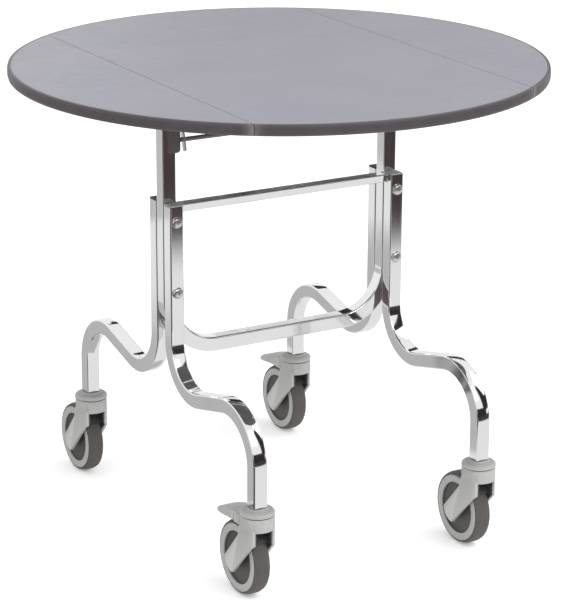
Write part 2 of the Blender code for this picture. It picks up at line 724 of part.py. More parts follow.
def make_castors():
    head, wheel, tyre, axle = castor_head(), castor_wheel(), castor_tyre(), castor_axle()
    forks = {braked: castor_fork(braked) for braked in (False, True)}
    pedal = brake_pedal()
    for end, end_sign in ENDS.items():
        for side, sign in SIDES.items():
            place = Vector((sign * POST_X, end_sign * LEG_Y, 0))
            name = f"{end}_{side}"
            braked = name in ("front_left", "rear_right")
            add_object(f"castor_head_{name}", head, "grey_plastic", place)
            swivel = pivot(f"swivel_{name}", place)
            add_object(f"castor_fork_{name}", forks[braked], "grey_plastic", parent=swivel)
            hub = pivot(f"hub_{name}", (0, TRAIL, WHEEL_RADIUS), swivel)
            add_object(f"castor_axle_{name}", axle, "zinc", hub.location, parent=swivel)
            add_object(f"castor_wheel_{name}", wheel, "grey_plastic", parent=hub)
            add_object(f"castor_tyre_{name}", tyre, "tyre", parent=hub)
            if braked:
                hold = pivot(f"brake_{name}", (0, PEDAL_Y, PEDAL_Z), swivel)
                add_object(f"brake_pedal_{name}", pedal, "grey_plastic", parent=hold)


def main():
    clear_scene()
    leaf_pivots = {
        side: pivot(f"{side}_leaf_pivot", (sign * FOLD_X, 0, hinge_axis_z())) for side, sign in SIDES.items()
    }
    make_top(leaf_pivots)
    make_hinges(leaf_pivots)
    make_u_frame()
    make_legs()
    make_upper_crossbar()
    make_clamp_bolts()
    make_top_plates()
    make_post_brackets()
    make_tie_rod()
    make_castors()


main()
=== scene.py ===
"""Looks of a room-service trolley.

A round drop-leaf top on a chromed square-tube frame with four swivel castors. Everything is in metres in the
frame's own axes: +Z up, X along the crossbars, Y along the fold lines of the top.
"""

import math

import bmesh
import bpy
from mathutils import Matrix, Vector


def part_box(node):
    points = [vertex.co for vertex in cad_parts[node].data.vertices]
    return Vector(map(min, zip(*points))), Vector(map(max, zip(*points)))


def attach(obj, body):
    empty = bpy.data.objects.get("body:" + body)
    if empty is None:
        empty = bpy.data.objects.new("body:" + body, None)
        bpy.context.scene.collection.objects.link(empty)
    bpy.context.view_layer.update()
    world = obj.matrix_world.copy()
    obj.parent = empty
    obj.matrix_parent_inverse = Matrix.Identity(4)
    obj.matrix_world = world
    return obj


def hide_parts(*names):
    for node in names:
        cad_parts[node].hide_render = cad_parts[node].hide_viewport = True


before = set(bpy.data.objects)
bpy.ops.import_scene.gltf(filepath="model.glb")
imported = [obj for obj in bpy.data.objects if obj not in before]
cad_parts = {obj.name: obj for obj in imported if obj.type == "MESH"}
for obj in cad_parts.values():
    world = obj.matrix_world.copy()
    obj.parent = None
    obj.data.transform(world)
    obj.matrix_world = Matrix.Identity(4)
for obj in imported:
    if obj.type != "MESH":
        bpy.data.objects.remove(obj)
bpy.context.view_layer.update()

# Driving places, read from the frame
BOARD_LOW, BOARD_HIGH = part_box("centre_board")
TOP_Z = BOARD_HIGH.z
UNDER_Z = BOARD_LOW.z
RIM_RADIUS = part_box("right_leaf_edge")[1].x
BOARD_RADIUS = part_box("right_leaf_board")[1].x
FOLD_INSIDE = BOARD_HIGH.x
FOLD_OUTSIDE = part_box("right_leaf_board")[0].x
LEG_LOW, LEG_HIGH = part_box("front_leg_right")
POST_X = (LEG_LOW.x + LEG_HIGH.x) / 2
TUBE = LEG_HIGH.x - LEG_LOW.x
LEG_TOP = LEG_HIGH.z
LEG_FOOT = LEG_LOW.z
LEG_Y = -LEG_LOW.y - TUBE / 2
TUBE_PITCH = -LEG_HIGH.y + TUBE / 2
POST_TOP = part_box("u_frame")[1].z
BAR_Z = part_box("u_frame")[0].z + TUBE / 2
WHEEL_LOW, WHEEL_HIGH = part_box("castor_tyre_front_right")
WHEEL_RADIUS = (WHEEL_HIGH.z - WHEEL_LOW.z) / 2
TRAIL = (WHEEL_LOW.y + WHEEL_HIGH.y) / 2 + LEG_Y

# Shapes of the tubes, the rod and the brackets, as in the frame
GAP = 0.0003
LEG_BEND_Z = 0.2596
LEG_RISE = math.radians(14.1)
LEG_BEND_IN = 0.078
LEG_BEND_OUT = 0.082
BAR_BEND = 0.090
ROD_Z = 0.6995
ROD_RADIUS = 0.0038
STRAP_X = 0.1880
STRAP_THICK = 0.0030
STRAP_WIDTH = 0.0095
STRAP_UP = 0.0120
STRAP_DOWN = 0.0200
STRAP_LEAN = math.radians(-14)
BRACKET_THICK = 0.0040
BRACKET_WIDTH = 0.0200
BRACKET_CORNERS = (0.0065, 0.0015)
BAR_FRONT_LEAN = math.radians(5.5)
BAR_SOFT = 0.0020
LEG_CROWNS = (3, 11)
TUBE_SOFT = 0.0028
TUBE_WALL = 0.0015

SIDES = {"left": -1, "right": 1}
ENDS = {"front": -1, "rear": 1}
CORNERS = {f"{end}_{side}": (SIDES[side], ENDS[end]) for end in ENDS for side in SIDES}
BRAKED = ("front_left", "rear_right")


# ---------------------------------------------------------------- materials


class Nodes:
    """A material's node tree, with short ways to add and join nodes."""

    def __init__(self, name):
        self.material = bpy.data.materials.new(name)
        self.material.use_nodes = True
        self.tree = self.material.node_tree
        self.shader = self.tree.nodes["Principled BSDF"]
        self.place = self.tree.nodes.new("ShaderNodeTexCoord").outputs["Object"]

    def link(self, source, socket):
        self.tree.links.new(source, socket)

    def noise(self, scale, detail=4.0, stretch=None, rough=0.5):
        node = self.tree.nodes.new("ShaderNodeTexNoise")
        node.inputs["Scale"].default_value = scale
        node.inputs["Detail"].default_value = detail
        node.inputs["Roughness"].default_value = rough
        self.link(self.stretched(stretch) if stretch else self.place, node.inputs["Vector"])
        return node.outputs["Fac"]

    def stretched(self, stretch):
        node = self.tree.nodes.new("ShaderNodeMapping")
        node.inputs["Scale"].default_value = stretch
        self.link(self.place, node.inputs["Vector"])
        return node.outputs["Vector"]

    def cells(self, scale):
        node = self.tree.nodes.new("ShaderNodeTexVoronoi")
        node.inputs["Scale"].default_value = scale
        self.link(self.place, node.inputs["Vector"])
        return node.outputs["Distance"]

    def ramp(self, source, *stops):
        """Colours or grey levels along a value: each stop is (position, colour or grey)."""
        node = self.tree.nodes.new("ShaderNodeValToRGB")
        elements = node.color_ramp.elements
        while len(elements) < len(stops):
            elements.new(0.5)
        for element, (position, value) in zip(elements, stops):
            element.position = position
            element.color = (*value, 1.0) if isinstance(value, tuple) else (value, value, value, 1.0)
        self.link(source, node.inputs["Fac"])
        return node.outputs["Color"]

    def mix(self, factor, one, two, blend="MIX"):
        node = self.tree.nodes.new("ShaderNodeMix")
        node.data_type = "RGBA"
        node.blend_type = blend
        if isinstance(factor, float):
            node.inputs[0].default_value = factor
        else:
            self.link(factor, node.inputs[0])
        for value, socket in ((one, node.inputs[6]), (two, node.inputs[7])):
            if isinstance(value, bpy.types.NodeSocket):
                self.link(value, socket)
            else:
                grey = (value, value, value, 1.0)
                socket.default_value = (*value, 1.0) if isinstance(value, tuple) else grey
        return node.outputs[2]

    def bump(self, height, distance, strength=1.0, under=None):
        node = self.tree.nodes.new("ShaderNodeBump")
        node.inputs["Distance"].default_value = distance
        node.inputs["Strength"].default_value = strength
        self.link(height, node.inputs["Height"])
        if under:
            self.link(under, node.inputs["Normal"])
        return node.outputs["Normal"]

    def edges(self, radius):
        """1 near sharp edges that stand out, 0 elsewhere."""
        node = self.tree.nodes.new("ShaderNodeNewGeometry")
        return self.ramp(node.outputs["Pointiness"], (0.50, 0.0), (0.50 + radius, 1.0))

    def finish(self, **values):
        """Sets or links the Principled inputs, named with _ for a space."""
        for name, value in values.items():
            socket = self.shader.inputs[name.replace("_", " ")]
            if isinstance(value, bpy.types.NodeSocket):
                self.link(value, socket)
            else:
                socket.default_value = (*value, 1.0) if isinstance(value, tuple) else value
        return self.material


def laminate():
    """Lavender-grey satin laminate: a fine fleck, faint clouding and a slight orange-peel."""
    n = Nodes("laminate")
    clouds = n.ramp(n.noise(7.0, 3), (0.35, 0.0), (0.65, 1.0))
    base = n.mix(clouds, (0.284, 0.281, 0.322), (0.302, 0.298, 0.340))
    fleck = n.ramp(n.noise(900.0, 2), (0.40, 0.90), (0.62, 1.05))
    colour = n.mix(1.0, base, fleck, "MULTIPLY")
    rough = n.ramp(n.noise(35.0, 5), (0.30, 0.40), (0.70, 0.48))
    peel = n.bump(n.noise(420.0, 3), 0.00004, 0.6)
    return n.finish(Base_Color=colour, Roughness=rough, Normal=peel, Specular_IOR_Level=0.42)


def laminate_back():
    """The plain balancing sheet under the boards, a little darker and more matt."""
    n = Nodes("laminate_back")
    colour = n.mix(n.noise(60.0, 6), (0.055, 0.051, 0.050), (0.078, 0.073, 0.071))
    return n.finish(Base_Color=colour, Roughness=n.ramp(n.noise(90.0), (0.3, 0.5), (0.7, 0.62)),
                    Normal=n.bump(n.noise(300.0), 0.00006, 0.7))


def board_core():
    """Chipboard at the cut edges: pressed chips of a few browns."""
    n = Nodes("board_core")
    colour = n.ramp(n.cells(260.0), (0.0, (0.10, 0.065, 0.042)), (0.5, (0.22, 0.155, 0.10)),
                    (1.0, (0.30, 0.225, 0.15)))
    return n.finish(Base_Color=colour, Roughness=0.85, Normal=n.bump(n.noise(500.0), 0.0003, 0.8))


def edge_moulding():
    """Dark moulded edging: brown-purple plastic with a soft sheen and fine grain; its sharp edges are painted
    lighter as a highlight.
    """
    n = Nodes("edge_moulding")
    colour = n.mix(n.noise(40.0, 5), (0.046, 0.039, 0.043), (0.066, 0.056, 0.061))
    # painted highlight: the moulding's sharp edges are lightened in the base colour
    edge_wear_and_highlight = n.mix(n.edges(0.06), colour, (0.15, 0.135, 0.145))
    return n.finish(Base_Color=edge_wear_and_highlight, Roughness=n.ramp(n.noise(120.0), (0.3, 0.36), (0.7, 0.46)),
                    Normal=n.bump(n.noise(700.0, 3), 0.00006, 0.6), Specular_IOR_Level=0.22)


def chrome():
    """Bright chrome plate: nearly mirror-like, with a slow ripple, faint haze and hairline marks."""
    n = Nodes("chrome")
    haze = n.noise(14.0, 5)
    marks = n.ramp(n.noise(90.0, 2, stretch=(1.0, 1.0, 0.04)), (0.60, 0.0), (0.72, 1.0))
    colour = n.mix(haze, (0.78, 0.78, 0.79), (0.86, 0.86, 0.87))
    rough = n.mix(marks, n.ramp(haze, (0.35, 0.060), (0.70, 0.100)), 0.13)
    ripple = n.bump(n.noise(9.0, 2), 0.0006, 0.25)
    fine = n.bump(n.noise(260.0, 2), 0.00001, 0.5, under=ripple)
    return n.finish(Base_Color=colour, Metallic=1.0, Roughness=rough, Normal=fine)


def zinc():
    """Zinc-plated steel: a soft spangle with duller and brighter patches."""
    n = Nodes("zinc")
    patch = n.cells(420.0)
    colour = n.mix(patch, (0.52, 0.52, 0.50), (0.70, 0.70, 0.69))
    rough = n.ramp(n.noise(180.0, 4), (0.3, 0.24), (0.7, 0.40))
    return n.finish(Base_Color=colour, Metallic=1.0, Roughness=rough,
                    Normal=n.bump(n.noise(800.0), 0.00004, 0.6))


def black_steel():
    """Black coated steel with a fine orange-peel and a few rubbed edges."""
    n = Nodes("black_steel")
    colour = n.mix(n.noise(80.0, 5), (0.020, 0.017, 0.016), (0.036, 0.031, 0.029))
    edge_wear_and_highlight = n.mix(n.edges(0.08), colour, (0.12, 0.11, 0.105))
    return n.finish(Base_Color=edge_wear_and_highlight, Metallic=0.2, Roughness=n.ramp(n.noise(150.0), (0.3, 0.38), (0.7, 0.5)),
                    Normal=n.bump(n.noise(900.0), 0.00005, 0.6))


def grey_plastic():
    """Light grey glass-filled nylon: fine moulded grain, faint flow clouds and slightly polished edges."""
    n = Nodes("grey_plastic")
    colour = n.mix(n.noise(55.0, 5), (0.302, 0.305, 0.295), (0.338, 0.340, 0.330))
    edge_wear_and_highlight = n.mix(n.edges(0.07), colour, (0.46, 0.47, 0.46))
    rough = n.ramp(n.noise(260.0, 3), (0.3, 0.40), (0.7, 0.52))
    return n.finish(Base_Color=edge_wear_and_highlight, Roughness=rough, Normal=n.bump(n.noise(1500.0, 2), 0.00006, 0.7),
                    Specular_IOR_Level=0.45)


def dark_disc():
    """The dark brown-grey plastic of the wheel's centre."""
    n = Nodes("dark_disc")
    colour = n.mix(n.noise(70.0, 5), (0.046, 0.040, 0.037), (0.064, 0.056, 0.052))
    return n.finish(Base_Color=colour, Roughness=n.ramp(n.noise(240.0), (0.3, 0.45), (0.7, 0.6)),
                    Normal=n.bump(n.noise(1300.0, 2), 0.00007, 0.8))


def dark_plastic():
    """The dark caps of the rear tubes."""
    n = Nodes("dark_plastic")
    colour = n.mix(n.noise(90.0, 5), (0.040, 0.036, 0.036), (0.062, 0.056, 0.056))
    return n.finish(Base_Color=colour, Roughness=0.5, Normal=n.bump(n.noise(1100.0), 0.00005, 0.6))


def tread():
    """Grey-brown rubber: dusty, a little lighter in random patches, with fine grain."""
    n = Nodes("tread")
    colour = n.mix(n.noise(45.0, 6, rough=0.6), (0.064, 0.056, 0.052), (0.096, 0.085, 0.079))
    return n.finish(Base_Color=colour, Roughness=n.ramp(n.noise(200.0), (0.3, 0.55), (0.7, 0.70)),
                    Normal=n.bump(n.noise(1200.0, 3), 0.00008, 0.8), Specular_IOR_Level=0.35)


MATERIALS = {
    maker.__name__: maker()
    for maker in (laminate, laminate_back, board_core, edge_moulding, chrome, zinc, black_steel, grey_plastic,
                  dark_disc, dark_plastic, tread)
}


# ---------------------------------------------------------------- mesh tools


def piece(name, mesh, finish, body, stands_for=(), place=(0, 0, 0)):
    """A visible piece of this mesh that rides with a body."""
    finishes = [finish] if isinstance(finish, str) else list(finish)
    if not mesh.materials:
        for one in finishes:
            mesh.materials.append(MATERIALS[one])
    obj = bpy.data.objects.new(name, mesh)
    obj.location = place
    bpy.context.scene.collection.objects.link(obj)
    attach(obj, body)
    if stands_for:
        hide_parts(*([stands_for] if isinstance(stands_for, str) else stands_for))
    return obj


def mesh_of(bm, sharp=32):
    """The mesh of a finished bmesh, smooth but for edges sharper than this angle."""
    bmesh.ops.recalc_face_normals(bm, faces=bm.faces)
    mesh = bpy.data.meshes.new("mesh")
    bm.to_mesh(mesh)
    bm.free()
    return smoothed(mesh, sharp)


def bevelled(mesh, width, segments=2, angle=30):
    """The mesh with its edges sharper than the angle rounded, and the flats kept flat."""
    obj = bpy.data.objects.new("body", mesh)
    bpy.context.scene.collection.objects.link(obj)
    bevel = obj.modifiers.new("bevel", "BEVEL")
    bevel.width = width
    bevel.segments = segments
    bevel.limit_method = "ANGLE"
    bevel.angle_limit = math.radians(angle)
    bevel.harden_normals = True
    result = evaluated(obj)
    bpy.data.objects.remove(obj, do_unlink=True)
    return result


def evaluated(obj):
    bpy.context.view_layer.update()
    graph = bpy.context.evaluated_depsgraph_get()
    made = obj.evaluated_get(graph)
    return bpy.data.meshes.new_from_object(made, preserve_all_data_layers=True, depsgraph=graph)


def combined(base, others, operation="DIFFERENCE"):
    """The mesh after an exact Boolean with each of the others."""
    body = bpy.data.objects.new("body", base)
    bpy.context.scene.collection.objects.link(body)
    helpers = []
    for i, other in enumerate(others):
        helper = bpy.data.objects.new(f"helper_{i}", other)
        bpy.context.scene.collection.objects.link(helper)
        step = body.modifiers.new(f"step_{i}", "BOOLEAN")
        step.operation = operation
        step.solver = "EXACT"
        step.object = helper
        helpers.append(helper)
    result = evaluated(body)
    for thing in [body, *helpers]:
        bpy.data.objects.remove(thing, do_unlink=True)
    return result


def moved(mesh, matrix):
    mesh.transform(matrix)
    return mesh


def smoothed(mesh, angle=32):
    mesh.shade_smooth()
    mesh.set_sharp_from_angle(angle=math.radians(angle))
    return mesh


AXIS_PLACE = {
    "Z": lambda a, b, h: Vector((a, b, h)),
    "X": lambda a, b, h: Vector((h, a, b)),
    "Y": lambda a, b, h: Vector((a, h, b)),
}


def prism(outline, low, high, axis="Z"):
    """The outline extruded between two heights: (x, y) along Z, (y, z) along X or (x, z) along Y."""
    put = AXIS_PLACE[axis]
    bm = bmesh.new()
    rows = [[bm.verts.new(put(a, b, h)) for a, b in outline] for h in (low, high)]
    for row in rows:
        bm.faces.new(row)
    count = len(outline)
    for i in range(count):
        j = (i + 1) % count
        bm.faces.new((rows[0][i], rows[0][j], rows[1][j], rows[1][i]))
    return mesh_of(bm)


def box(low, high):
    outline = [(low[0], low[1]), (high[0], low[1]), (high[0], high[1]), (low[0], high[1])]
    return prism(outline, low[2], high[2])


def lathe(profile, segments=64, axis="Z", closed=False, sharp=28):
    """A turned body: the profile is (radius, height), from the axis to the axis, or closed for a ring."""
    turn = {"Z": Matrix.Identity(4), "X": Matrix.Rotation(math.radians(90), 4, "Y"),
            "Y": Matrix.Rotation(math.radians(-90), 4, "X")}[axis]
    bm = bmesh.new()
    rows = []
    for radius, height in profile:
        if radius < 1e-9:
            rows.append([bm.verts.new(turn @ Vector((0, 0, height)))])
            continue
        angles = [2 * math.pi * i / segments for i in range(segments)]
        points = [Vector((radius * math.cos(a), radius * math.sin(a), height)) for a in angles]
        rows.append([bm.verts.new(turn @ point) for point in points])
    pairs = list(zip(rows, rows[1:])) + ([(rows[-1], rows[0])] if closed else [])
    for one, two in pairs:
        for i in range(segments):
            j = (i + 1) % segments
            if len(one) == 1:
                bm.faces.new((one[0], two[j], two[i]))
            elif len(two) == 1:
                bm.faces.new((one[i], one[j], two[0]))
            else:
                bm.faces.new((one[i], one[j], two[j], two[i]))
    return mesh_of(bm, sharp)


def arc(centre, radius, start, end, steps):
    """Points along an arc, angles in degrees, both ends included."""
    return [
        (centre[0] + radius * math.cos(math.radians(start + (end - start) * i / steps)),
         centre[1] + radius * math.sin(math.radians(start + (end - start) * i / steps)))
        for i in range(steps + 1)
    ]


def rounded_profile(points, radii, steps=5):
    """A polyline whose inner corners are rounded, each to its own radius."""
    result = [tuple(points[0])]
    for before, corner, after, radius in zip(points, points[1:], points[2:], radii):
        corner, before, after = Vector(corner), Vector(before), Vector(after)
        one, two = (before - corner).normalized(), (after - corner).normalized()
        if radius <= 0 or abs(one.dot(two)) > 0.9999:
            result.append(tuple(corner))
            continue
        half = one.angle(two) / 2
        reach = min(radius / math.tan(half), (before - corner).length * 0.49, (after - corner).length * 0.49)
        start, end = corner + one * reach, corner + two * reach
        for i in range(steps + 1):
            t = i / steps
            result.append(tuple(start * (1 - t) ** 2 + corner * 2 * t * (1 - t) + end * t ** 2))
    result.append(tuple(points[-1]))
    return result


def bend_path(corners, radii, step=2.5):
    """(position, direction) along a polyline in a plane with rounded corners."""
    points = [(Vector(corners[0]), (Vector(corners[1]) - Vector(corners[0])).normalized())]
    for before, corner, after, radius in zip(corners, corners[1:], corners[2:], radii):
        corner = Vector(corner)
        inward = (corner - Vector(before)).normalized()
        outward = (Vector(after) - corner).normalized()
        turn = inward.angle(outward)
        axis = inward.cross(outward).normalized()
        reach = radius * math.tan(turn / 2)
        steps = math.ceil(math.degrees(turn) / step)
        centre = corner - inward * reach + axis.cross(inward) * radius
        arm = corner - inward * reach - centre
        for i in range(steps + 1):
            rotation = Matrix.Rotation(turn * i / steps, 3, axis)
            points.append((centre + rotation @ arm, rotation @ inward))
    points.append((Vector(corners[-1]), (Vector(corners[-1]) - Vector(corners[-2])).normalized()))
    return points


def square_section(width, height, soft, steps=5):
    """((a, b), (normal a, normal b)) round a rectangle with rounded corners."""
    points = []
    for k, (sa, sb) in enumerate(((1, 1), (-1, 1), (-1, -1), (1, -1))):
        centre = (sa * (width / 2 - soft), sb * (height / 2 - soft))
        for i in range(steps + 1):
            angle = math.radians(90 * k + 90 * i / steps)
            normal = (math.cos(angle), math.sin(angle))
            points.append(((centre[0] + soft * normal[0], centre[1] + soft * normal[1]), normal))
    return points


def bend_crowns(path, crowns):
    """How far the outer faces bulge at each station, in degrees at their edges: one value for each bend."""
    turning = [0.0]
    for (_, before), (_, after) in zip(path, path[1:]):
        turning.append(math.degrees(before.angle(after)))
    bends = []
    result = [0.0] * len(path)
    for k, turn in enumerate(turning):
        if turn > 0.1:
            if bends and bends[-1][-1] == k - 1:
                bends[-1].append(k)
            else:
                bends.append([k])
    for stations, crown in zip(bends, crowns):
        for k in stations:
            nearest = min(k - stations[0], stations[-1] - k)
            result[k] = crown * min(1.0, nearest / 4)
    return result


def swept_tube(path, side, width, height, soft, wall, crowns=()):
    """A hollow tube with exact normals: corners are round, both ends are open, and flats stay flat except
    for a slight bulge across the bends."""
    side = Vector(side)
    outer = square_section(width, height, soft)
    inner = square_section(width - 2 * wall, height - 2 * wall, max(soft - wall, 0.0004))
    bm = bmesh.new()
    normals = {}
    rows = {"outer": [], "inner": []}
    bulges = bend_crowns(path, crowns)
    for (position, direction), bulge in zip(path, bulges):
        across = side.cross(direction)
        tilt = math.sin(math.radians(bulge))
        for kind, section, turn in (("outer", outer, 1), ("inner", inner, -1)):
            row = []
            for (a, b), (na, nb) in section:
                if abs(nb) > 0.99 and kind == "outer":
                    na = math.copysign(tilt, a)
                vert = bm.verts.new(position + side * a + across * b)
                row.append(vert)
                normals[vert] = (side * na + across * nb) * turn
            rows[kind].append(row)
    bm.verts.index_update()
    by_index = [None] * len(bm.verts)
    for vert, normal in normals.items():
        by_index[vert.index] = normal
    count = len(outer)
    for kind, flip in (("outer", False), ("inner", True)):
        for one, two in zip(rows[kind], rows[kind][1:]):
            for i in range(count):
                j = (i + 1) % count
                face = (one[i], one[j], two[j], two[i])
                bm.faces.new(face[::-1] if flip else face)
    walls = len(bm.faces)
    for k, flip in ((0, False), (-1, True)):
        out_row, in_row = rows["outer"][k], rows["inner"][k]
        for i in range(count):
            j = (i + 1) % count
            face = (out_row[i], in_row[i], in_row[j], out_row[j])
            bm.faces.new(face[::-1] if flip else face)
    mesh = bpy.data.meshes.new("tube")
    bm.to_mesh(mesh)
    bm.free()
    flipped = mesh.polygons[0].normal.dot(by_index[mesh.polygons[0].vertices[0]]) < 0
    if flipped:
        mesh.flip_normals()
    mesh.shade_smooth()
    custom = []
    for polygon in mesh.polygons:
        for index in polygon.vertices:
            custom.append(polygon.normal if polygon.index >= walls else by_index[index])
    mesh.normals_split_custom_set(custom)
    return mesh


# ---------------------------------------------------------------- table top

BOARD_SOFT = 0.0006


def fold_angle(radius, x):
    return math.acos(max(-1.0, min(1.0, x / radius)))


def disc_part(radius, low_x, high_x, steps_per_turn=288):
    """The part of a disc between two lines of constant x, anticlockwise."""
    if high_x < radius:
        start, end = fold_angle(radius, high_x), fold_angle(radius, low_x)
        spans = [(start, end), (2 * math.pi - end, 2 * math.pi - start)]
    else:
        reach = fold_angle(radius, low_x)
        spans = [(-reach, reach)]
    points = []
    for start, end in spans:
        steps = round((end - start) / (2 * math.pi) * steps_per_turn)
        points += [(radius * math.cos(start + (end - start) * i / steps),
                    radius * math.sin(start + (end - start) * i / steps)) for i in range(steps + 1)]
    return points


def board(outline):
    """A laminated board: both sheets, the core between them and a slight arris all round the top sheet."""
    bm = bmesh.new()
    middle = Vector((sum(x for x, _ in outline) / len(outline), sum(y for _, y in outline) / len(outline)))
    sheet = 0.0008
    levels = ((UNDER_Z, 0.0), (UNDER_Z + sheet, 0.0), (TOP_Z - sheet, 0.0), (TOP_Z - BOARD_SOFT * 0.4, 0.0),
              (TOP_Z, BOARD_SOFT * 0.6))
    rows = []
    for z, inset in levels:
        row = []
        for x, y in outline:
            point = Vector((x, y))
            point -= (point - middle).normalized() * inset
            row.append(bm.verts.new((point.x, point.y, z)))
        rows.append(row)
    bm.faces.new(rows[0]).material_index = 1
    bm.faces.new(rows[-1]).material_index = 0
    count = len(outline)
    for level, (one, two) in enumerate(zip(rows, rows[1:])):
        for i in range(count):
            j = (i + 1) % count
            face = bm.faces.new((one[i], one[j], two[j], two[i]))
            face.material_index = {0: 1, 1: 2}.get(level, 0)
    return mesh_of(bm, 25)


def edge_band(span_at):
    """The rounded moulding along part of the rim, softened where it meets both faces of the board."""
    inner = BOARD_RADIUS + GAP
    section = rounded_profile(
        [(inner, UNDER_Z + 0.0004), (RIM_RADIUS - 0.0012, UNDER_Z), (RIM_RADIUS, UNDER_Z + 0.0050),
         (RIM_RADIUS, TOP_Z - 0.0050), (RIM_RADIUS - 0.0012, TOP_Z), (inner, TOP_Z - 0.0002)],
        [0.0022, 0.0035, 0.0035, 0.0022], 5)
    first, last = span_at(RIM_RADIUS)
    steps = round((last - first) / (2 * math.pi) * 288)
    bm = bmesh.new()
    rows = []
    for i in range(steps + 1):
        row = []
        for radius, z in section:
            start, end = span_at(radius)
            angle = start + (end - start) * i / steps
            row.append(bm.verts.new((radius * math.cos(angle), radius * math.sin(angle), z)))
        rows.append(row)
    count = len(section)
    for one, two in zip(rows, rows[1:]):
        for i in range(count):
            j = (i + 1) % count
            bm.faces.new((one[i], one[j], two[j], two[i]))
    bm.faces.new(rows[0])
    bm.faces.new(rows[-1])
    return mesh_of(bm, 35)


def make_top():
    faces = ("laminate", "laminate_back", "board_core")
    centre = board(disc_part(BOARD_RADIUS, -FOLD_INSIDE, FOLD_INSIDE))
    piece("centre_top", centre, faces, "frame", "centre_board")
    rear = edge_band(lambda r: (fold_angle(r, FOLD_INSIDE), fold_angle(r, -FOLD_INSIDE)))
    front = edge_band(lambda r: (-fold_angle(r, -FOLD_INSIDE), -fold_angle(r, FOLD_INSIDE)))
    piece("centre_moulding_rear", rear, "edge_moulding", "frame", "centre_edge_rear")
    piece("centre_moulding_front", front, "edge_moulding", "frame", "centre_edge_front")
    for side, sign in SIDES.items():
        turned = Matrix.Rotation(0 if sign > 0 else math.pi, 4, "Z")
        leaf = moved(board(disc_part(BOARD_RADIUS, FOLD_OUTSIDE, RIM_RADIUS)), turned)
        piece(f"{side}_leaf_top", leaf, faces, f"{side}_leaf", f"{side}_leaf_board")
        band = edge_band(lambda r: (-fold_angle(r, FOLD_OUTSIDE), fold_angle(r, FOLD_OUTSIDE)))
        piece(f"{side}_leaf_moulding", moved(band, turned), "edge_moulding", f"{side}_leaf",
              f"{side}_leaf_edge")


# ---------------------------------------------------------------- frame


def leg_path(end_sign, side_sign):
    x = side_sign * POST_X
    knee_z = LEG_BEND_Z + (LEG_Y - TUBE_PITCH) * math.tan(LEG_RISE)
    return bend_path(
        [(x, end_sign * TUBE_PITCH, LEG_TOP), (x, end_sign * TUBE_PITCH, LEG_BEND_Z),
         (x, end_sign * LEG_Y, knee_z), (x, end_sign * LEG_Y, LEG_FOOT)],
        [LEG_BEND_IN, LEG_BEND_OUT])


def make_tubes():
    path = bend_path([(-POST_X, 0, POST_TOP), (-POST_X, 0, BAR_Z), (POST_X, 0, BAR_Z), (POST_X, 0, POST_TOP)],
                     [BAR_BEND, BAR_BEND])
    posts = swept_tube(path, (0, 1, 0), TUBE, TUBE, TUBE_SOFT, TUBE_WALL)
    piece("post_frame", posts, "chrome", "frame", "u_frame")
    for end, end_sign in ENDS.items():
        for side, side_sign in SIDES.items():
            path = leg_path(end_sign, side_sign)
            tube = swept_tube(path, (1, 0, 0), TUBE, TUBE, TUBE_SOFT, TUBE_WALL, LEG_CROWNS)
            piece(f"{end}_{side}_leg", tube, "chrome", "frame", f"{end}_leg_{side}")
    low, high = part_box("upper_crossbar")
    centre = (low + high) / 2
    size = high - low
    lean = size.z * math.tan(BAR_FRONT_LEAN)
    section = [(low.y + lean, low.z), (high.y, low.z), (high.y, high.z), (low.y, high.z)]
    bar = bevelled(prism(section, low.x, high.x, "X"), BAR_SOFT, 4)
    piece("handle_bar", bar, "chrome", "frame", "upper_crossbar")
    for side, sign in SIDES.items():
        piece(f"handle_weld_{side}", weld_bead(size.y, size.z), "chrome", "frame",
              place=(sign * (POST_X - TUBE / 2 - 0.0004), centre.y, centre.z))


def weld_bead(width, height):
    """A small fillet round the end of the upper bar where it meets the leg."""
    bm = bmesh.new()
    rows = []
    section = square_section(width, height, 0.0022, 4)
    for angle in range(0, 360, 60):
        out = 0.0004 + 0.0010 * math.cos(math.radians(angle))
        along = 0.0010 * math.sin(math.radians(angle))
        rows.append([bm.verts.new((along, a + na * out, b + nb * out)) for (a, b), (na, nb) in section])
    for one, two in zip(rows, rows[1:] + rows[:1]):
        for i in range(len(one)):
            j = (i + 1) % len(one)
            bm.faces.new((one[i], one[j], two[j], two[i]))
    return mesh_of(bm, 70)


def make_plugs():
    for end in ENDS:
        for side in SIDES:
            low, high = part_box(f"{end}_tube_plug_{side}")
            finish = "grey_plastic" if end == "front" else "dark_plastic"
            lid_low = LEG_TOP + GAP
            lid = box((low.x, low.y, lid_low), (high.x, high.y, high.z))
            lid = bevelled(lid, 0.0012, 3)
            inset = 0.0025
            stem_high = (high.x - inset, high.y - inset, lid_low + 0.0005)
            stem = box((low.x + inset, low.y + inset, low.z), stem_high)
            cap = combined(lid, [stem], "UNION")
            piece(f"{end}_{side}_cap", cap, finish, "frame", f"{end}_tube_plug_{side}")


def bolt_head(radius, height):
    """A button head with a hexagon socket, its rim on y = 0 and its dome towards -Y."""
    profile = [(0, 0.0), (radius, 0.0), (radius, -0.0010)]
    profile += [(radius * math.sin(math.radians(a)), -0.0010 - (height - 0.0010) * math.cos(math.radians(a)))
                for a in range(80, 9, -10)]
    profile += [(0, -height)]
    head = lathe(profile, 48, "Z", sharp=40)
    key = 0.0029
    hexagon = [(key * math.cos(math.radians(a)), key * math.sin(math.radians(a))) for a in range(0, 360, 60)]
    socket = prism(hexagon, -height - 0.001, -height + 0.0027)
    head = smoothed(combined(head, [socket]), 40)
    return moved(head, Matrix.Rotation(math.radians(-90), 4, "X"))


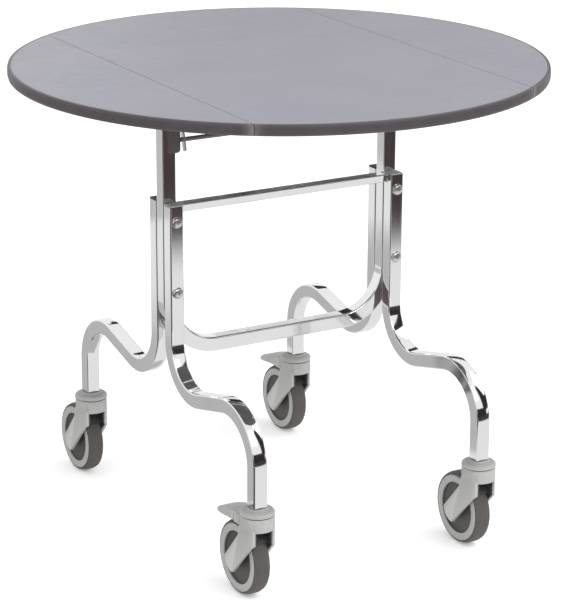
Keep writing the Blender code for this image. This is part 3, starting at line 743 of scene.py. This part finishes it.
def make_bolts():
    for side, sign in SIDES.items():
        for level in ("upper", "lower"):
            low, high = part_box(f"clamp_bolt_{side}_{level}")
            x, z = (low.x + high.x) / 2, (low.z + high.z) / 2
            face = -TUBE_PITCH - TUBE / 2
            height = face - GAP - low.y
            radius = (high.x - low.x) / 2
            bore, thick = 0.0042, 0.0008
            ring = [(bore, 0.0), (radius, 0.0), (radius, -thick), (bore, -thick)]
            washer = lathe(ring, 48, "Z", closed=True)
            head = bolt_head(radius * 0.92, height - thick)
            washer = moved(washer, Matrix.Rotation(math.radians(-90), 4, "X"))
            shank = lathe([(0, 0.0), (0.0039, 0.0), (0.0039, high.y - face), (0, high.y - face)], 24, "Y")
            place = (x, face - 0.0002, z)
            head = moved(head, Matrix.Translation((0, -thick, 0)))
            piece(f"{side}_bolt_{level}", head, "zinc", "frame", f"clamp_bolt_{side}_{level}", place)
            for name, mesh in (("washer", washer), ("shank", shank)):
                piece(f"{side}_bolt_{level}_{name}", mesh, "zinc", "frame", place=place)
            nut_low, nut_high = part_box(f"clamp_nut_{side}_{level}")
            nut = dome_nut(nut_high.y - nut_low.y, (nut_high.x - nut_low.x) / 2)
            piece(f"{side}_dome_nut_{level}", nut, "zinc", "frame", f"clamp_nut_{side}_{level}",
                  (x, nut_low.y, z))


def dome_nut(height, radius):
    """A hexagon base with a domed cap, its base on y = 0."""
    base = [(radius * math.cos(math.radians(a)), radius * math.sin(math.radians(a)))
            for a in range(0, 360, 60)]
    base = bevelled(prism(base, 0.0, height * 0.5), 0.0005, 2)
    cap = [(0, height * 0.3), (radius * 0.80, height * 0.3), (radius * 0.80, height * 0.5)]
    cap += [(radius * 0.80 * math.cos(math.radians(a)), height * (0.5 + 0.5 * math.sin(math.radians(a))))
            for a in range(10, 81, 10)]
    cap += [(0, height)]
    nut = combined(base, [lathe(cap, 32)], "UNION")
    return moved(smoothed(nut, 35), Matrix.Rotation(math.radians(-90), 4, "X"))


def make_brackets():
    """Angle brackets in front of the posts, and the rod between them."""
    front = -TUBE / 2 - GAP
    large, small = BRACKET_CORNERS
    for side, sign in SIDES.items():
        low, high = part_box(f"post_bracket_{side}")
        near, far = (low.x, low.x + BRACKET_WIDTH) if sign > 0 else (high.x - BRACKET_WIDTH, high.x)
        corners = [large, small] if sign > 0 else [small, large]
        outline = rounded_profile([(near, high.z), (near, low.z), (far, low.z), (far, high.z)], corners, 8)
        web = prism(outline, front - BRACKET_THICK, front, "Y")
        flange = box((low.x, low.y, high.z - BRACKET_THICK), (high.x, front - 0.0002, high.z))
        bracket = bevelled(combined(web, [flange], "UNION"), 0.0006, 2, 40)
        piece(f"{side}_bracket", bracket, "black_steel", "frame", f"post_bracket_{side}")
    make_tie_rod(front - BRACKET_THICK / 2)


def make_tie_rod(rod_y):
    """The rod between the brackets, with a bright leaning strap near each end."""
    low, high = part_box("tie_rod")
    profile = [(0, low.x), (ROD_RADIUS, low.x), (ROD_RADIUS, high.x), (0, high.x)]
    rod = moved(lathe(profile, 40, "X"), Matrix.Translation((0, rod_y, ROD_Z)))
    piece("cross_rod", rod, "black_steel", "frame", "tie_rod")
    lean = Matrix.Rotation(STRAP_LEAN, 4, "X")
    for side, sign in SIDES.items():
        half = (STRAP_THICK / 2, STRAP_WIDTH / 2)
        outline = rounded_profile(
            [(half[1], 0), (half[1], STRAP_UP), (-half[1], STRAP_UP), (-half[1], -STRAP_DOWN),
             (half[1], -STRAP_DOWN), (half[1], 0)], [0.004] * 4, 6)[:-1]
        strap = bevelled(prism(outline, -half[0], half[0], "X"), 0.0004, 2, 40)
        piece(f"{side}_strap", moved(strap, lean), "zinc", "frame", place=(sign * STRAP_X, rod_y, ROD_Z))


# ---------------------------------------------------------------- castors

# Castor shapes, measured from the swivel's axis and the floor, as in the frame; angles in degrees
HEAD_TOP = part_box("front_leg_left")[0].z
HEAD_LOW, HEAD_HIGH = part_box("castor_head_front_left")
HEAD_RADIUS = (HEAD_HIGH.x - HEAD_LOW.x) / 2
SEAM = 0.1510
CROWN_UNDER = 0.1283
ARM_IN = 0.0188
ARM_OUT = 0.0246
ARM_SLOPE = 131
ARM_HALF = 0.0166
ARM_END_RADIUS = 0.0235
ARM_RUN = 0.0530
WALL_BACK = 0.0800
WALL_FRONT_X = 0.0165
WALL_THICK = 0.0030
WALL_BOTTOM = 0.1075
BLEND_FROM = 46
BLEND_END_Y = 0.01035
EAR_IN = 0.0120
EAR_OUT = 0.0215
EAR_FRONT = 0.0120
EAR_BACK = 0.0395
EAR_LOW = 0.1285
EAR_HIGH = 0.1455
PEDAL_Y = 0.0340
PEDAL_Z = 0.1390
# distance behind the swivel's axis, half width, top and bottom
PEDAL_STATIONS = [
    (0.0416, 0.0215, 0.1455, 0.1278),
    (0.0560, 0.0218, 0.1450, 0.1268),
    (0.0720, 0.0210, 0.1420, 0.1248),
    (0.0880, 0.0192, 0.1370, 0.1218),
    (0.1030, 0.0158, 0.1310, 0.1182),
    (0.1150, 0.0112, 0.1250, 0.1152),
    (0.1240, 0.0060, 0.1195, 0.1130),
]
KNUCKLE_RADIUS = 0.0045
KNUCKLE_HALF = EAR_IN - GAP
RING_RADIUS = 0.0566
RING_INNER = 0.0445
# Painted shadow over the tread: the dark shield's span round the axle, in degrees, and its clearances outside
# the tyre
PAINTED_SHADOW_FROM = 93
PAINTED_SHADOW_TO = 142
PAINTED_SHADOW_RADII = (0.0034, 0.0018)


def castor_cap():
    """The fixed head: a rounded ring, a shallow dish and a raised collar round the square tube."""
    return lathe(rounded_profile(
        [(0, HEAD_TOP - 0.0014), (0.0184, HEAD_TOP - 0.0014), (0.0192, HEAD_TOP - 0.0046),
         (0.0236, HEAD_TOP - 0.0050), (HEAD_RADIUS, HEAD_TOP - 0.0074), (HEAD_RADIUS, SEAM + 0.0016),
         (HEAD_RADIUS - 0.0008, SEAM + 0.0016), (0, SEAM + 0.0016)],
        [0.0010, 0.0014, 0.0030, 0.0042, 0.0004, 0], 6), 72, sharp=50)


def make_castors():
    cap = castor_cap()
    for name, (side_sign, end_sign) in CORNERS.items():
        place = Vector((side_sign * POST_X, end_sign * LEG_Y, 0))
        piece(f"{name}_head", cap, "grey_plastic", "frame", f"castor_head_{name}", place)
        ring_in, ring_out = HEAD_RADIUS - 0.0060, HEAD_RADIUS - 0.0012
        seam = lathe([(ring_in, SEAM + 0.0003), (ring_out, SEAM + 0.0003), (ring_out, SEAM + 0.0016),
                      (ring_in, SEAM + 0.0016)], 72, closed=True)
        piece(f"{name}_seam", seam, "dark_plastic", "frame", place=place)
        make_fork(name, place)
        make_wheel(name, place + Vector((0, TRAIL, WHEEL_RADIUS)))


def shoulder_curve(start):
    """The crown's outline from an angle in front to its flat side: round, then a blend into the flat."""
    round_part = arc((0, 0), HEAD_RADIUS, -start, -BLEND_FROM, 8)
    first = Vector(round_part[-1])
    turn = math.radians(BLEND_FROM)
    middle = first + Vector((math.sin(turn), math.cos(turn))) * ((ARM_OUT - first.x) / math.sin(turn))
    last = Vector((ARM_OUT, -BLEND_END_Y))
    blend = []
    for k in range(1, 11):
        t = k / 10
        blend.append(tuple(first * (1 - t) ** 2 + middle * (2 * t * (1 - t)) + last * t ** 2))
    return round_part + blend


def arm_plan(sign):
    """An arm from above: flat beside the wheel, and running into the crown's outline in front."""
    start = math.degrees(math.acos(WALL_FRONT_X / HEAD_RADIUS))
    inner_radius = HEAD_RADIUS - WALL_THICK
    inner_end = math.degrees(math.acos(ARM_IN / inner_radius))
    points = shoulder_curve(start) + [(ARM_OUT, WALL_BACK), (ARM_IN, WALL_BACK)]
    points += arc((0, 0), inner_radius, -inner_end, -start, 8)
    return [(sign * x, y) for x, y in points]


def arm_side():
    """An arm from the side, as (y, z): a short wall under the crown, and the slant down to the axle."""
    slope = math.radians(ARM_SLOPE)
    along = Vector((math.cos(slope), math.sin(slope)))
    across = Vector((math.sin(slope), -math.cos(slope)))
    axle = Vector((TRAIL, WHEEL_RADIUS))
    spread = math.degrees(math.asin(ARM_HALF / ARM_END_RADIUS))
    tip = arc(axle, ARM_END_RADIUS, ARM_SLOPE + 180 - spread, ARM_SLOPE + 180 + spread, 14)
    upper = axle + across * ARM_HALF + along * ARM_RUN
    wall_front = -math.sqrt(HEAD_RADIUS ** 2 - WALL_FRONT_X ** 2)
    wall_rear = math.sqrt(HEAD_RADIUS ** 2 - ARM_OUT ** 2)
    joined = CROWN_UNDER + 0.004
    front = -HEAD_RADIUS - WALL_THICK
    heel = rounded_profile([(front, WALL_BOTTOM), (wall_front, WALL_BOTTOM), tip[0]], [0.010], 6)[:-1]
    back = rounded_profile([tip[-1], tuple(upper), (wall_rear, joined)], [0.012], 6)[1:]
    return [(front, joined)] + heel + tip + back


def crown_drum():
    """The drum under the seam: round in front and behind, and flat where the arms run up it."""
    quarter = shoulder_curve(90)
    rear = [(x, -y) for x, y in reversed(quarter)]
    right = quarter + rear
    left = [(-x, y) for x, y in reversed(right[1:-1])]
    return bevelled(prism(right + left, CROWN_UNDER, SEAM), 0.0009, 3, 50)


def fork_mesh(braked):
    """Crown and arms in one moulding."""
    parts = []
    for sign in (-1, 1):
        low_x, high_x = sorted((0, sign * 2 * HEAD_RADIUS))
        plate = prism(arm_plan(sign), 0, SEAM - 0.002)
        arm = combined(plate, [prism(arm_side(), low_x, high_x, "X")], "INTERSECT")
        parts.append(bevelled(arm, 0.0006, 2, 50))
        if braked:
            low_x, high_x = sorted((sign * EAR_IN, sign * EAR_OUT))
            ear = box((low_x, EAR_FRONT, EAR_LOW), (high_x, EAR_BACK, EAR_HIGH))
            parts.append(bevelled(ear, 0.0006, 2))
    fork = combined(crown_drum(), parts, "UNION")
    return smoothed(fork, 35)


def wheel_painted_shadow():
    """A dark curved shield between the arms, close over the front of the tread: painted shadow standing in
    for the shade under the crown.
    """
    outside, inside = PAINTED_SHADOW_RADII
    outline = arc((TRAIL, WHEEL_RADIUS), WHEEL_RADIUS + outside, PAINTED_SHADOW_FROM, PAINTED_SHADOW_TO, 16)
    outline += arc((TRAIL, WHEEL_RADIUS), WHEEL_RADIUS + inside, PAINTED_SHADOW_TO, PAINTED_SHADOW_FROM, 16)
    return prism(outline, -ARM_IN + 0.0002, ARM_IN - 0.0002, "X")


def inner_shade_skin(sign):
    """A dark skin on the inside of an arm's front wall: painted shade in the hollow of the fork."""
    radius = HEAD_RADIUS - WALL_THICK
    inner_end = math.degrees(math.acos(ARM_IN / radius))
    start = math.degrees(math.acos(WALL_FRONT_X / HEAD_RADIUS))
    outer = [(ARM_IN - 0.0001, 0.020)] + arc((0, 0), radius - 0.0001, -inner_end, -start - 4, 8)
    inner = [(x - 0.0007, y) for x, y in reversed(outer)]
    plan = [(sign * x, y) for x, y in outer + inner]
    side = [(-0.030, CROWN_UNDER + 0.006), (-0.030, WALL_BOTTOM), (-0.0235, WALL_BOTTOM), (0.012, 0.0760),
            (0.020, 0.0860), (0.020, CROWN_UNDER + 0.006)]
    low_x, high_x = sorted((0, sign * 2 * HEAD_RADIUS))
    return combined(prism(plan, 0.05, SEAM), [prism(side, low_x, high_x, "X")], "INTERSECT")


def pedal_mesh():
    """A leaf-shaped tongue with a domed top and soft edges, which tapers down and back to its tip."""
    stations = PEDAL_STATIONS
    bm = bmesh.new()
    rows = []
    count = 30
    for k in range(count + 1):
        at = stations[0][0] + (stations[-1][0] - stations[0][0]) * (1 - (1 - k / count) ** 1.6)
        i = max(i for i in range(len(stations) - 1) if stations[i][0] <= at + 1e-9)
        one, two = stations[i], stations[i + 1]
        t = (at - one[0]) / (two[0] - one[0])
        half, top, low = (a + (b - a) * t for a, b in zip(one[1:], two[1:]))
        height = top - low
        soft = min(0.0050, height * 0.45, half * 0.6)
        section = square_section(2 * half, height, soft, 6)
        rows.append([bm.verts.new((a, at, (top + low) / 2 + b)) for (a, b), _ in section])
    for one, two in zip(rows, rows[1:]):
        for i in range(len(one)):
            j = (i + 1) % len(one)
            bm.faces.new((one[i], one[j], two[j], two[i]))
    bm.faces.new(rows[0])
    bm.faces.new(rows[-1])
    for vert in bm.verts:
        vert.co += Vector((0, -PEDAL_Y, -PEDAL_Z))
    tongue = mesh_of(bm, 45)
    half = KNUCKLE_HALF
    knuckle = lathe([(0, -half), (KNUCKLE_RADIUS, -half), (KNUCKLE_RADIUS, half), (0, half)], 32, "X")
    neck = box((-half, 0, -0.0036), (half, 0.0101, 0.0036))
    return smoothed(combined(tongue, [knuckle, neck], "UNION"), 45)


FORKS = {}


def make_fork(name, place):
    braked = name in BRAKED
    if braked not in FORKS:
        FORKS[braked] = fork_mesh(braked)
    body = f"castor_{name}"
    piece(f"{name}_fork", FORKS[braked], "grey_plastic", body, f"castor_fork_{name}", place)
    # painted shadow: a dark shield over the front of the tread
    piece(f"{name}_guard", wheel_painted_shadow(), "dark_plastic", body, place=place)
    # painted shade: a dark skin inside each arm's front wall
    for side, sign in SIDES.items():
        piece(f"{name}_shade_skin_{side}", inner_shade_skin(sign), "dark_plastic", body, place=place)
    if braked:
        hinge = place + Vector((0, PEDAL_Y, PEDAL_Z))
        piece(f"{name}_pedal", pedal_mesh(), "grey_plastic", f"brake_{name}", f"brake_pedal_{name}", hinge)
        pin = lathe([(0, -0.0160), (0.0019, -0.0160), (0.0019, 0.0160), (0, 0.0160)], 24, "X")
        piece(f"{name}_pedal_pin", pin, "zinc", f"brake_{name}", place=hinge)


def make_wheel(name, hub):
    body = f"wheel_{name}"
    half = WHEEL_HIGH.x - POST_X
    ring = lathe(rounded_profile(
        [(RING_INNER, -half + 0.0030), (RING_INNER, -half + 0.0002), (RING_RADIUS, -half),
         (RING_RADIUS, half), (RING_INNER, half - 0.0002), (RING_INNER, half - 0.0030)],
        [0.0010, 0.0010, 0.0010, 0.0010], 4), 96, "X", closed=True)
    disc = lathe(rounded_profile(
        [(0.0045, -0.0170), (0.0120, -0.0170), (0.0130, -0.0105), (0.0440, -0.0105), (0.0444, -0.0120),
         (0.0444, 0.0120), (0.0440, 0.0105), (0.0130, 0.0105), (0.0120, 0.0170), (0.0045, 0.0170)],
        [0.0010, 0.0020, 0.0010, 0, 0, 0.0010, 0.0020, 0.0010], 4), 96, "X", closed=True)
    tread_half = half - 0.0008
    crown = rounded_profile(
        [(RING_RADIUS + GAP, -tread_half), (0.0600, -tread_half), (WHEEL_RADIUS, -tread_half + 0.0070),
         (WHEEL_RADIUS, tread_half - 0.0070), (0.0600, tread_half), (RING_RADIUS + GAP, tread_half)],
        [0.0020, 0.0110, 0.0110, 0.0020], 8)
    band = lathe(crown, 96, "X", closed=True, sharp=50)
    piece(f"{name}_wheel_ring", ring, "grey_plastic", body, f"castor_wheel_{name}", hub)
    piece(f"{name}_wheel_disc", disc, "dark_disc", body, place=hub)
    piece(f"{name}_tread", band, "tread", body, f"castor_tyre_{name}", hub)


# ---------------------------------------------------------------- what stays from the frame


def dress_frame():
    """Materials for the frame's own nodes that stay visible."""
    finishes = {"hinge": "zinc", "top_plate": "zinc", "axle": "zinc"}
    for name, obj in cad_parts.items():
        for word, finish in finishes.items():
            if word in name:
                obj.data.materials.clear()
                obj.data.materials.append(MATERIALS[finish])
                smoothed(obj.data, 35)


# ---------------------------------------------------------------- studio


def glossy_card(name, corners, tone, fade=None):
    """A panel that is seen only in reflections. A tone is a grey level or a colour.

    fade is (y, y, tone): over that stretch of its own Y the panel goes over to another tone."""
    bm = bmesh.new()
    bm.faces.new([bm.verts.new(c) for c in corners])
    mesh = bpy.data.meshes.new(name)
    bm.to_mesh(mesh)
    bm.free()
    n = Nodes(name)
    n.tree.nodes.remove(n.shader)
    glow = n.tree.nodes.new("ShaderNodeEmission")
    glow.inputs["Color"].default_value = (*tone, 1) if isinstance(tone, tuple) else (tone, tone, tone, 1)
    if fade:
        split = n.tree.nodes.new("ShaderNodeSeparateXYZ")
        n.link(n.place, split.inputs[0])
        spread = n.tree.nodes.new("ShaderNodeMapRange")
        spread.interpolation_type = "SMOOTHSTEP"
        spread.inputs["From Min"].default_value = fade[0]
        spread.inputs["From Max"].default_value = fade[1]
        n.link(split.outputs["Y"], spread.inputs["Value"])
        n.link(n.ramp(spread.outputs["Result"], (0.0, tone), (1.0, fade[2])), glow.inputs["Color"])
    n.link(glow.outputs[0], n.tree.nodes["Material Output"].inputs["Surface"])
    mesh.materials.append(n.material)
    card = bpy.data.objects.new(name, mesh)
    bpy.context.scene.collection.objects.link(card)
    card.visible_camera = False
    card.visible_diffuse = False
    card.visible_shadow = False
    card.visible_transmission = False
    return card


def floor_card(name, low, high, height, tone, fade=None):
    """A glossy card that lies on the floor between two (x, y) corners."""
    corners = [(low[0], low[1], height), (high[0], low[1], height), (high[0], high[1], height),
               (low[0], high[1], height)]
    return glossy_card(name, corners, tone, fade)


def make_studio():
    floor_mesh = bpy.data.meshes.new("floor")
    bm = bmesh.new()
    reach = 14.0
    corners = ((-reach, -reach, 0), (reach, -reach, 0), (reach, reach, 0), (-reach, reach, 0))
    bm.faces.new([bm.verts.new(corner) for corner in corners])
    bm.to_mesh(floor_mesh)
    bm.free()
    n = Nodes("floor")
    floor_mesh.materials.append(n.finish(Base_Color=(0.95, 0.95, 0.95), Roughness=0.9,
                                         Specular_IOR_Level=0.1, Emission_Color=(1.0, 1.0, 1.0),
                                         Emission_Strength=0.22))
    floor = bpy.data.objects.new("floor", floor_mesh)
    bpy.context.scene.collection.objects.link(floor)

    floor_card("floor_tone", (-9, -9), (9, 9), 0.002, 0.90)
    floor_card("dark_floor_corner", (-6, -6), (-0.30, 0.04), 0.003, (0.115, 0.095, 0.093))
    floor_card("grey_floor_left", (-5, 0.05), (-0.05, 5), 0.003, (0.60, 0.59, 0.58), fade=(0.85, 1.35, 0.90))
    floor_card("grey_floor_far", (-5, 1.74), (-1.0, 5), 0.0035, (0.58, 0.575, 0.565))
    floor_card("grey_floor_middle", (-0.70, 0.05), (-0.05, 1.75), 0.0036, (0.53, 0.525, 0.52),
               fade=(1.20, 1.66, 0.90))
    front = floor_card("dark_floor_front", (-9, -9), (9, 0.06), 0.004, (0.062, 0.046, 0.045),
                       fade=(-0.38, 0.04, 0.90))
    front.location = (0.65, -1.36, 0)
    front.rotation_euler = (0, 0, math.radians(22))
    dark = (0.034, 0.029, 0.028)
    glossy_card("dark_wall_front", [(-8, -8, 0), (8, -8, 0), (8, -8, 2.2), (-8, -8, 2.2)], dark)
    glossy_card("dark_wall_right", [(3.5, -5, 0.8), (5.8, 0.8, 0.8), (5.8, 0.8, 7), (3.5, -5, 7)], dark)
    rear = [(0.95, 2.5, 1.34), (7, 2.5, 1.34), (7, 2.5, 2.35), (0.95, 2.5, 2.35)]
    glossy_card("dark_wall_rear", rear, dark)

    world = bpy.data.worlds.new("studio")
    bpy.context.scene.world = world
    world.use_nodes = True
    background = world.node_tree.nodes["Background"]
    background.inputs["Color"].default_value = (1.0, 1.0, 1.0, 1.0)
    background.inputs["Strength"].default_value = 1.0

    lamps = (("key", (0.5, -3.3, 3.3), 2.2, 58), ("fill", (3.0, -1.0, 3.0), 2.4, 34))
    for name, place, size, power in lamps:
        lamp = bpy.data.lights.new(name, "AREA")
        lamp.size = size
        lamp.energy = power
        obj = bpy.data.objects.new(name, lamp)
        obj.location = place
        obj.rotation_euler = (Vector((0, 0, 0.4)) - Vector(place)).to_track_quat("-Z", "Y").to_euler()
        bpy.context.scene.collection.objects.link(obj)


def make_camera():
    data = bpy.data.cameras.new("camera")
    data.sensor_fit = "VERTICAL"
    data.sensor_height = 36.0
    data.lens = 146.35
    data.clip_end = 60.0
    camera = bpy.data.objects.new("camera", data)
    camera.location = (-1.9676, -3.4588, 1.6816)
    yaw, pitch, roll = 0.52204, 0.31392, 0.00537
    turn = Matrix.Rotation(-yaw, 4, "Z") @ Matrix.Rotation(math.pi / 2 - pitch, 4, "X")
    camera.rotation_euler = (turn @ Matrix.Rotation(roll, 4, "Z")).to_euler()
    bpy.context.scene.collection.objects.link(camera)
    bpy.context.scene.camera = camera


make_top()
make_tubes()
make_plugs()
make_bolts()
make_brackets()
make_castors()
dress_frame()
make_studio()
make_camera()
bpy.context.scene.view_settings.view_transform = "Standard"
